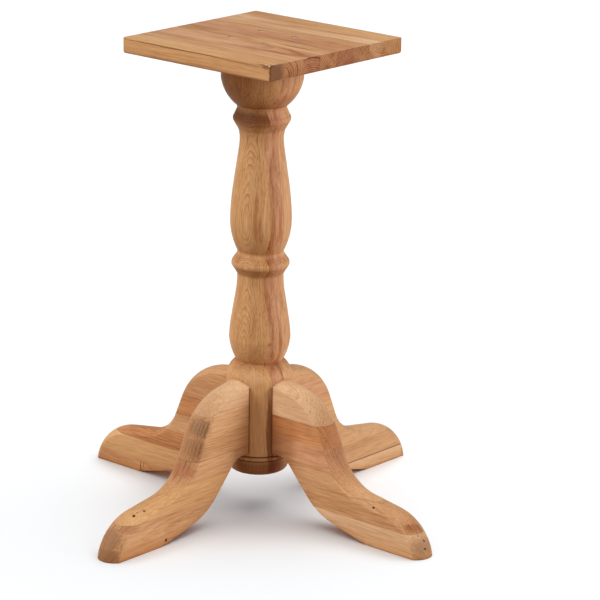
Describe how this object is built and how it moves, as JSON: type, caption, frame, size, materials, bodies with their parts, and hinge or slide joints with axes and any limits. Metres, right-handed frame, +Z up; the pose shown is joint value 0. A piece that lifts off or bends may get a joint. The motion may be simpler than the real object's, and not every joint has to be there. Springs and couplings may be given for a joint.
{
  "type": "pedestal table",
  "caption": "Small square wooden mounting board on a turned, glued-up column, carried by four curved and crowned legs whose feet splay out to the floor.",
  "frame": {"origin": "on the floor under the axis of the column, the centre of the base of the whole table", "axes": "+Z up along the column, +X along the right leg and at right angles to one side of the board, +Y along the back leg"},
  "size_m": [0.6662, 0.6662, 0.72],
  "materials": {
    "board_wood": "light reddish tan hardwood, fine sanded and oiled, satin",
    "column_wood": "light reddish tan hardwood, turned and oiled, satin",
    "leg_wood": "light reddish tan hardwood, sanded and oiled, satin, with a few pits",
    "dowel_wood": "plain pale hardwood, unfinished",
    "screw_steel": "zinc plated steel, satin"
  },
  "bodies": {
    "root": {"board_stave_1": "board_wood", "board_stave_2": "board_wood", "board_stave_3": "board_wood", "board_stave_4": "board_wood", "board_stave_5": "board_wood", "board_stave_6": "board_wood", "board_stave_7": "board_wood", "board_stave_8": "board_wood", "column_lamella_1": "column_wood", "column_lamella_2": "column_wood", "column_lamella_3": "column_wood", "column_lamella_4": "column_wood", "right_leg_board_1": "leg_wood", "right_leg_board_2": "leg_wood", "right_leg_board_3": "leg_wood", "right_leg_board_4": "leg_wood", "right_leg_board_5": "leg_wood", "right_leg_board_6": "leg_wood", "right_leg_board_7": "leg_wood", "front_leg_board_1": "leg_wood", "front_leg_board_2": "leg_wood", "front_leg_board_3": "leg_wood", "front_leg_board_4": "leg_wood", "front_leg_board_5": "leg_wood", "front_leg_board_6": "leg_wood", "front_leg_board_7": "leg_wood", "left_leg_board_1": "leg_wood", "left_leg_board_2": "leg_wood", "left_leg_board_3": "leg_wood", "left_leg_board_4": "leg_wood", "left_leg_board_5": "leg_wood", "left_leg_board_6": "leg_wood", "left_leg_board_7": "leg_wood", "back_leg_board_1": "leg_wood", "back_leg_board_2": "leg_wood", "back_leg_board_3": "leg_wood", "back_leg_board_4": "leg_wood", "back_leg_board_5": "leg_wood", "back_leg_board_6": "leg_wood", "back_leg_board_7": "leg_wood", "right_leg_dowel_1": "dowel_wood", "right_leg_dowel_2": "dowel_wood", "front_leg_dowel_1": "dowel_wood", "front_leg_dowel_2": "dowel_wood", "left_leg_dowel_1": "dowel_wood", "left_leg_dowel_2": "dowel_wood", "back_leg_dowel_1": "dowel_wood", "back_leg_dowel_2": "dowel_wood", "board_screw_1": "screw_steel", "board_screw_2": "screw_steel", "board_screw_3": "screw_steel", "board_screw_4": "screw_steel"}
  },
  "joints": []
}
